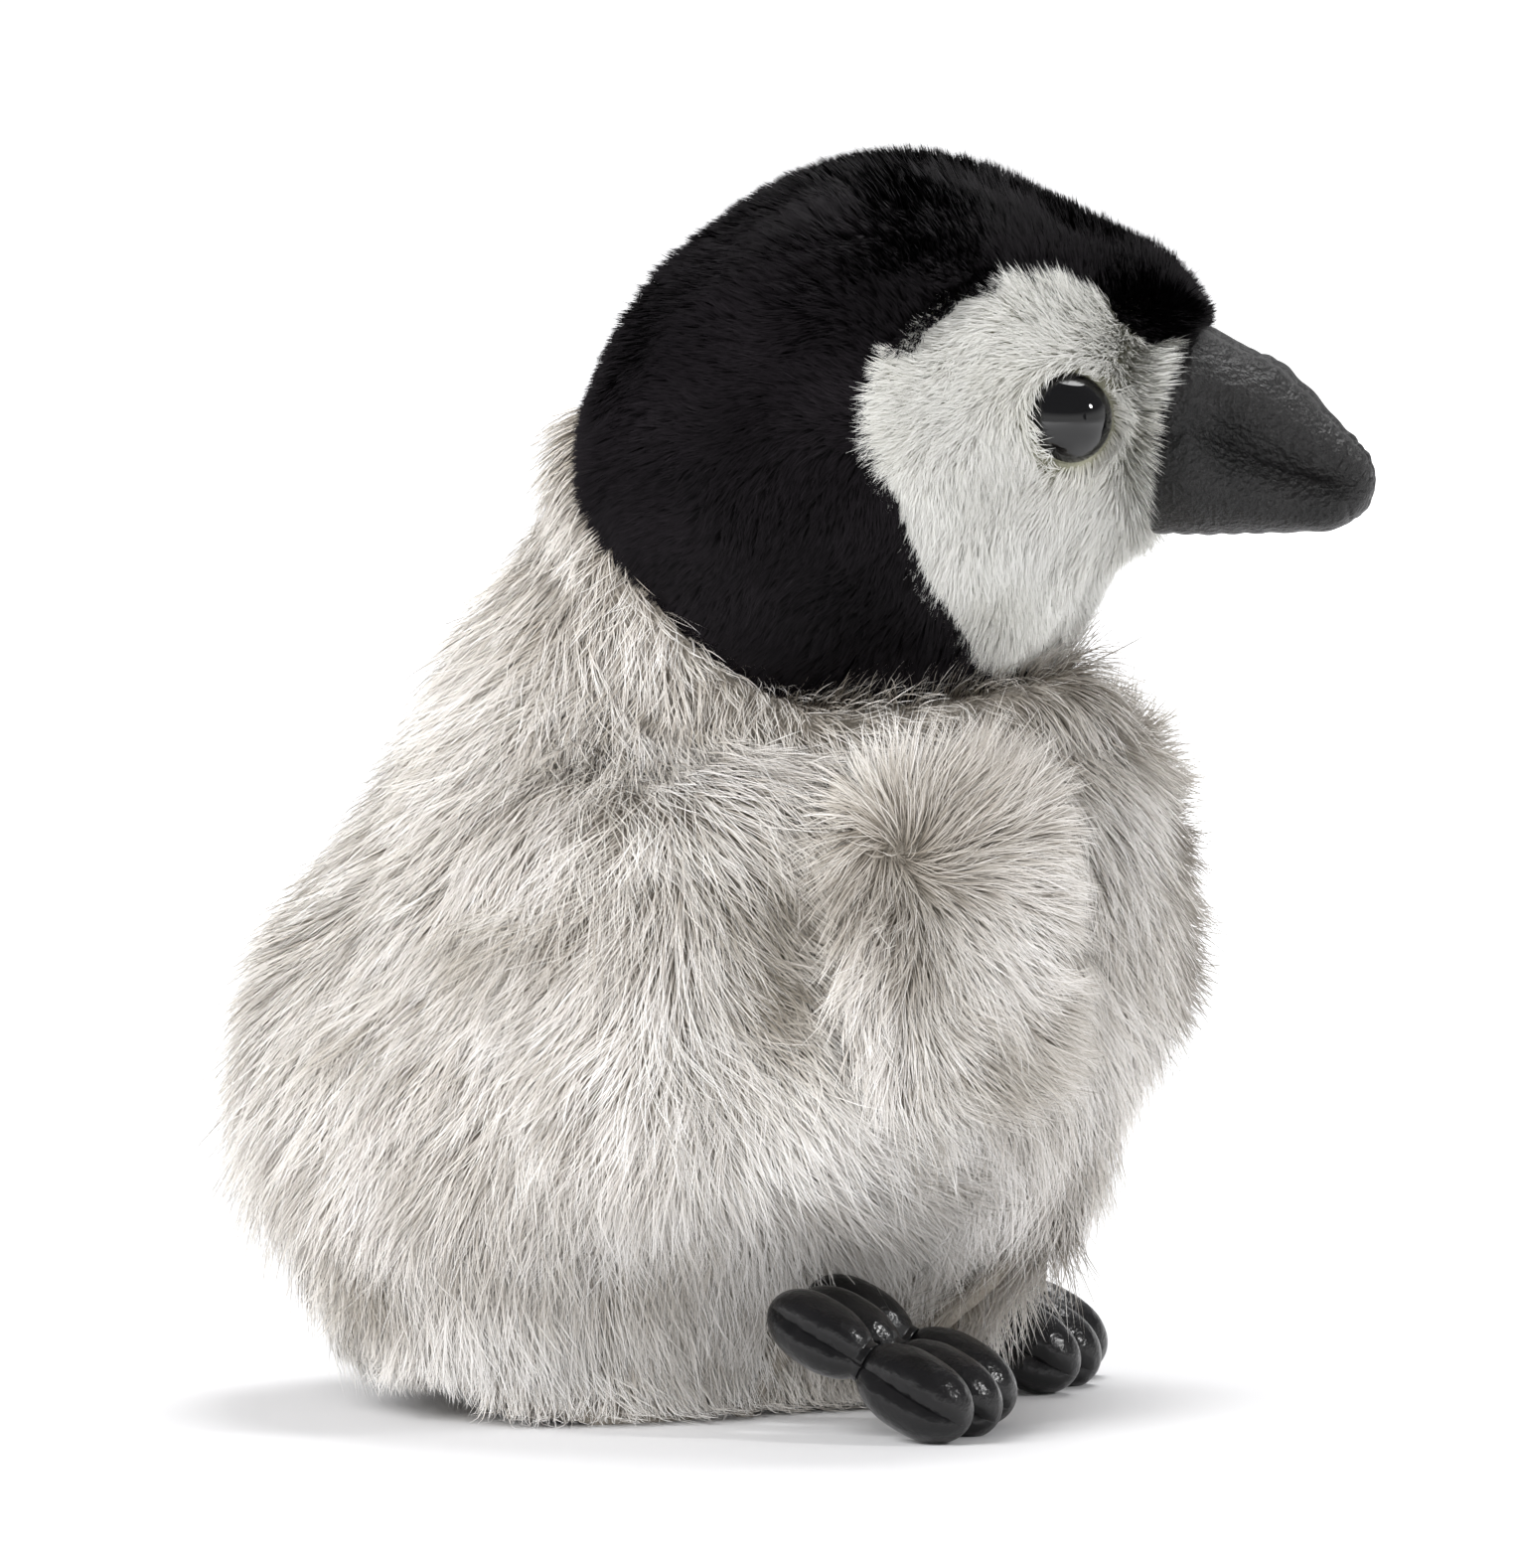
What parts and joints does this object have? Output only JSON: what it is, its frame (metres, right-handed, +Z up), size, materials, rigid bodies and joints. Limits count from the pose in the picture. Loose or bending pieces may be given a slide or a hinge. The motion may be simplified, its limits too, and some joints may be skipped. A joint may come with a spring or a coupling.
{
  "type": "plush penguin",
  "caption": "Soft plush penguin chick that stands on a flat weighted base, with a long-pile body, flippers, a short-pile hood and face, a leatherette beak and toed feet.",
  "frame": {"origin": "centre of the toy's outline seen from above, on the surface that it stands on", "axes": "+X forward, the way the beak points; +Y to the toy's own left; +Z up"},
  "size_m": [0.1184, 0.075, 0.1267],
  "materials": {
    "long_pile_grey": "long soft pile, silvery tips over taupe roots",
    "lining_grey": "short flat pile",
    "short_pile_black": "short dense plush pile",
    "short_pile_white": "short dense plush pile",
    "leatherette_black": "fine grained, semi-gloss",
    "eye_black": "polished",
    "washer_black": "moulded",
    "fibre_fill": "loose polyester fibre",
    "pouch_cloth": "plain woven",
    "pellet_fill": "small moulded pellets",
    "thread_black": "waxed wound thread"
  },
  "bodies": {
    "torso": {"torso_stuffing": "fibre_fill", "pellet_pouch": "pouch_cloth", "pellets": "pellet_fill", "base_panel": "lining_grey", "belly_panel": "long_pile_grey", "back_panel_left": "long_pile_grey", "back_panel_right": "long_pile_grey"},
    "neck": {"neck_stuffing": "fibre_fill"},
    "head": {"head_stuffing": "fibre_fill", "hood_left": "short_pile_black", "hood_right": "short_pile_black", "crown_gusset": "short_pile_black", "face_patch_left": "short_pile_white", "face_patch_right": "short_pile_white", "eye_left": "eye_black", "eye_right": "eye_black", "eye_washer_left": "washer_black", "eye_washer_right": "washer_black", "beak_left": "leatherette_black", "beak_right": "leatherette_black", "beak_stuffing": "fibre_fill"},
    "wing_left": {"wing_outer_left": "long_pile_grey", "wing_lining_left": "lining_grey"},
    "foot_left": {"foot_upper_left": "leatherette_black", "foot_sole_left": "leatherette_black", "foot_web_left": "leatherette_black", "toe_stuffing_left": "fibre_fill", "toe_ties_left": "thread_black"},
    "wing_right": {"wing_outer_right": "long_pile_grey", "wing_lining_right": "lining_grey"},
    "foot_right": {"foot_upper_right": "leatherette_black", "foot_sole_right": "leatherette_black", "foot_web_right": "leatherette_black", "toe_stuffing_right": "fibre_fill", "toe_ties_right": "thread_black"}
  },
  "joints": [
    {"name": "neck_turn", "type": "hinge", "parent": "torso", "child": "neck", "pos_m": [0.0092, 0, 0.0979], "axis": [0, 0, 1], "range_deg": [-30, 30], "stiffness_Nm_per_rad": 0.04},
    {"name": "head_nod", "type": "hinge", "parent": "neck", "child": "head", "pos_m": [0.0092, 0, 0.0979], "axis": [0, 1, 0], "range_deg": [-12, 12], "stiffness_Nm_per_rad": 0.08},
    {"name": "wing_left_flap", "type": "hinge", "parent": "torso", "child": "wing_left", "pos_m": [0.0227, 0.0276, 0.066], "axis": [0.8192, -0.5736, 0], "range_deg": [0, 65], "stiffness_Nm_per_rad": 0.002},
    {"name": "wing_right_flap", "type": "hinge", "parent": "torso", "child": "wing_right", "pos_m": [0.0227, -0.0276, 0.066], "axis": [-0.8192, -0.5736, 0], "range_deg": [0, 65], "stiffness_Nm_per_rad": 0.002},
    {"name": "foot_left_flex", "type": "hinge", "parent": "torso", "child": "foot_left", "pos_m": [0.0054, 0.0216, 0.0132], "axis": [0, -1, 0], "range_deg": [-20, 15], "stiffness_Nm_per_rad": 0.002},
    {"name": "foot_right_flex", "type": "hinge", "parent": "torso", "child": "foot_right", "pos_m": [0.0054, -0.0216, 0.0132], "axis": [0, -1, 0], "range_deg": [-20, 15], "stiffness_Nm_per_rad": 0.002}
  ]
}
